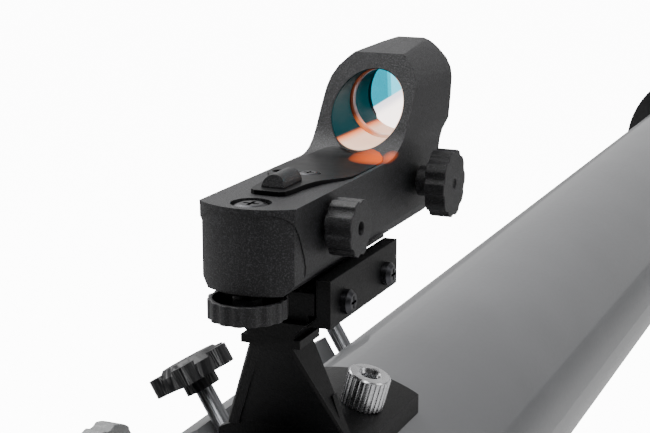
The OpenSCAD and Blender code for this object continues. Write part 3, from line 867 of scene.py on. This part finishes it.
sleeve = spun_sleeve(
    [(HOOD_END_Y, SLEEVE_IN), (STEP_Y, SLEEVE_IN), (STEP_Y, WALL_OUT), (HOOD_END_Y, WALL_OUT)]
)
cut_off(sleeve, HOOD_FACE, HOOD_NORMAL)
outer_bore = finished(sleeve, "window_bore_outer", BORE)
inner = spun_sleeve(
    [
        (INNER_Y, BORE_R - 0.9),
        (BEFORE_LENS_Y, BORE_R - 0.55),
        (BEFORE_LENS_Y, WALL_OUT),
        (INNER_Y, WALL_OUT),
    ]
)
inner_bore = finished(inner, "window_bore_inner", BORE)
ring = spun_sleeve(
    [
        (STEP_Y + 0.45, WALL_OUT),
        (STEP_Y + 0.45, BORE_R - 0.45),
        (STEP_Y + 1.0, BORE_R - 0.85),
        (RING_END_Y, BORE_R - 0.95),
        (RING_END_Y, WALL_OUT),
    ]
)
bmesh.ops.bevel(
    ring,
    geom=[e for e in ring.edges if e.calc_face_angle(0) > RING_CORNER],
    offset=0.08 * MM,
    offset_type="OFFSET",
    segments=2,
    profile=0.5,
    affect="EDGES",
    material=-1,
)
bore_ring = finished(ring, "window_bore_ring", RING)
for piece in (outer_bore, inner_bore, bore_ring):
    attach(piece, "finder")
print("bore pieces:", [len(p.data.polygons) for p in (outer_bore, inner_bore, bore_ring)])

# %% [markdown]
# ## The white studio
# The studio is white all round, but a white room that bright would also light the black
# plastic grey. The Light Path node keeps the two apart: a surface or the world can be bright
# where it is seen directly, less bright through a lens, and dim where it only lights the
# scene. The floor is wide pale paper. Near the telescope its glow is weak, so that soft
# shadows show, and further out the glow fades it into the white surround.

# %% Brightness by how it is seen
SURROUND = 12.0
THROUGH_GLASS = 5.0


def seen_brightness(tree):
    """SURROUND where it is seen directly, THROUGH_GLASS through a lens, else 0."""
    path = add(tree, "ShaderNodeLightPath")
    straight = add(
        tree,
        "ShaderNodeMapRange",
        {"Value": path.outputs["Is Camera Ray"], "To Min": 0.0, "To Max": SURROUND},
    )
    through = add(
        tree,
        "ShaderNodeMapRange",
        {"Value": path.outputs["Is Transmission Ray"], "To Min": 0.0, "To Max": THROUGH_GLASS},
    )
    return add(
        tree,
        "ShaderNodeMath",
        {0: straight.outputs["Result"], 1: through.outputs["Result"]},
        operation="ADD",
    ).outputs[0]


print("surround", SURROUND, "seen directly,", THROUGH_GLASS, "through a lens")

# %% The floor
FLOOR_Z = cad_box[0][2]
FLOOR_HALF = 9
GLOW_STARTS, GLOW_FULL = 0.6, 1.05
GLOW_NEAR = 0.16
FIBRE_MM = 4


def studio_floor():
    """A wide sheet of matt paper whose glow grows away from the telescope."""
    shape = bmesh.new()
    bmesh.ops.create_grid(shape, x_segments=8, y_segments=8, size=FLOOR_HALF)
    bmesh.ops.translate(shape, vec=(0, 0, FLOOR_Z), verts=shape.verts)
    material = clouded(
        "white matt paper", {"IOR": 1.4}, ("#f2f2f2", "#f8f8f8"), cloud=(FIBRE_MM, 3)
    )
    tree = material.node_tree
    matt = add(
        tree,
        "ShaderNodeMapRange",
        {"Value": grain(tree, FIBRE_MM, 3), "To Min": 0.8, "To Max": 0.9},
    )
    place = add(tree, "ShaderNodeTexCoord").outputs["Object"]
    reach = add(tree, "ShaderNodeVectorMath", {0: place}, operation="LENGTH")
    far = add(
        tree,
        "ShaderNodeMapRange",
        {
            "Value": reach.outputs["Value"],
            "From Min": GLOW_STARTS,
            "From Max": GLOW_FULL,
            "To Min": GLOW_NEAR,
        },
        interpolation_type="SMOOTHSTEP",
    )
    glow = add(
        tree,
        "ShaderNodeMath",
        {0: seen_brightness(tree), 1: far.outputs["Result"]},
        operation="MULTIPLY",
    )
    plug(
        tree.nodes["Principled BSDF"],
        {
            "Roughness": matt.outputs["Result"],
            "Emission Color": WHITE,
            "Emission Strength": glow.outputs[0],
        },
    )
    return finished(shape, "studio_floor", material)


studio_floor()
print("floor at", round(FLOOR_Z, 4), "m")

# %% [markdown]
# ## The backdrop as a light
# As a light, the room is not even: a large backdrop behind the telescope sends more light
# than the wall behind the camera. Surfaces that slant away from the camera reflect it, while
# those that face the camera stay dark.

# %% The world
BACKDROP_SIDE = Vector((-0.42, 0.88, 0.2)).normalized()
DIM_WALL, BRIGHT_WALL = 0.05, 0.75

world = bpy.data.worlds.new("studio")
world.use_nodes = True
room = world.node_tree
facing = add(
    room,
    "ShaderNodeVectorMath",
    {0: add(room, "ShaderNodeTexCoord").outputs["Generated"], 1: BACKDROP_SIDE},
    operation="DOT_PRODUCT",
)
backdrop = add(
    room,
    "ShaderNodeMapRange",
    {
        "Value": facing.outputs["Value"],
        "From Min": -0.1,
        "From Max": 0.95,
        "To Min": DIM_WALL,
        "To Max": BRIGHT_WALL,
    },
    interpolation_type="SMOOTHSTEP",
)
strength = add(
    room,
    "ShaderNodeMath",
    {0: seen_brightness(room), 1: backdrop.outputs["Result"]},
    operation="ADD",
)
plug(room.nodes["Background"], {"Color": WHITE, "Strength": strength.outputs[0]})
bpy.context.scene.world = world
print("world nodes:", len(room.nodes))

# %% [markdown]
# ## Lamps and camera
# Three large soft lamps shape the telescope: the key lamp high at the left and a little
# beyond it, a weak fill lamp at the right, and a top lamp above and behind the camera that
# lifts the black plastic. The camera looks down along the tube from behind the finder.

# %% Lamps
def lamp(name, place, target, size, power):
    """A soft rectangular lamp at place that faces target."""
    data = bpy.data.lights.new(name, "AREA")
    data.shape = "RECTANGLE"
    data.size, data.size_y = size
    data.energy = power
    item = bpy.data.objects.new(name, data)
    bpy.context.scene.collection.objects.link(item)
    item.location = place
    item.rotation_euler = (Vector(target) - Vector(place)).to_track_quat("-Z", "Y").to_euler()
    return item


subject = (0.0, 0.0, AXIS_Z + 0.06)
lamps = [
    lamp("key lamp", (-1.3, 0.5, 2.0), subject, size=(1.6, 1.6), power=34),
    lamp("fill lamp", (1.9, 0.2, 1.2), subject, size=(0.9, 1.8), power=9),
    lamp("top lamp", (0.2, -0.9, 2.4), subject, size=(1.2, 0.9), power=21),
]
print("lamps:", {item.name: item.data.energy for item in lamps})

# %% The camera
CAMERA_PLACE = (0.1604, -0.4687, 0.6239)
CAMERA_AIM = (-0.3855, 0.8922, -0.2355)
LENS_MM = 83.08
SENSOR_MM = 36

camera_data = bpy.data.cameras.new("camera")
camera_data.lens = LENS_MM
camera_data.sensor_width = SENSOR_MM
camera = bpy.data.objects.new("camera", camera_data)
bpy.context.scene.collection.objects.link(camera)
camera.location = CAMERA_PLACE
camera.rotation_euler = Vector(CAMERA_AIM).to_track_quat("-Z", "Y").to_euler()
bpy.context.scene.camera = camera
print("camera", round((camera.location - Vector(subject)).length, 3), "m from the subject")
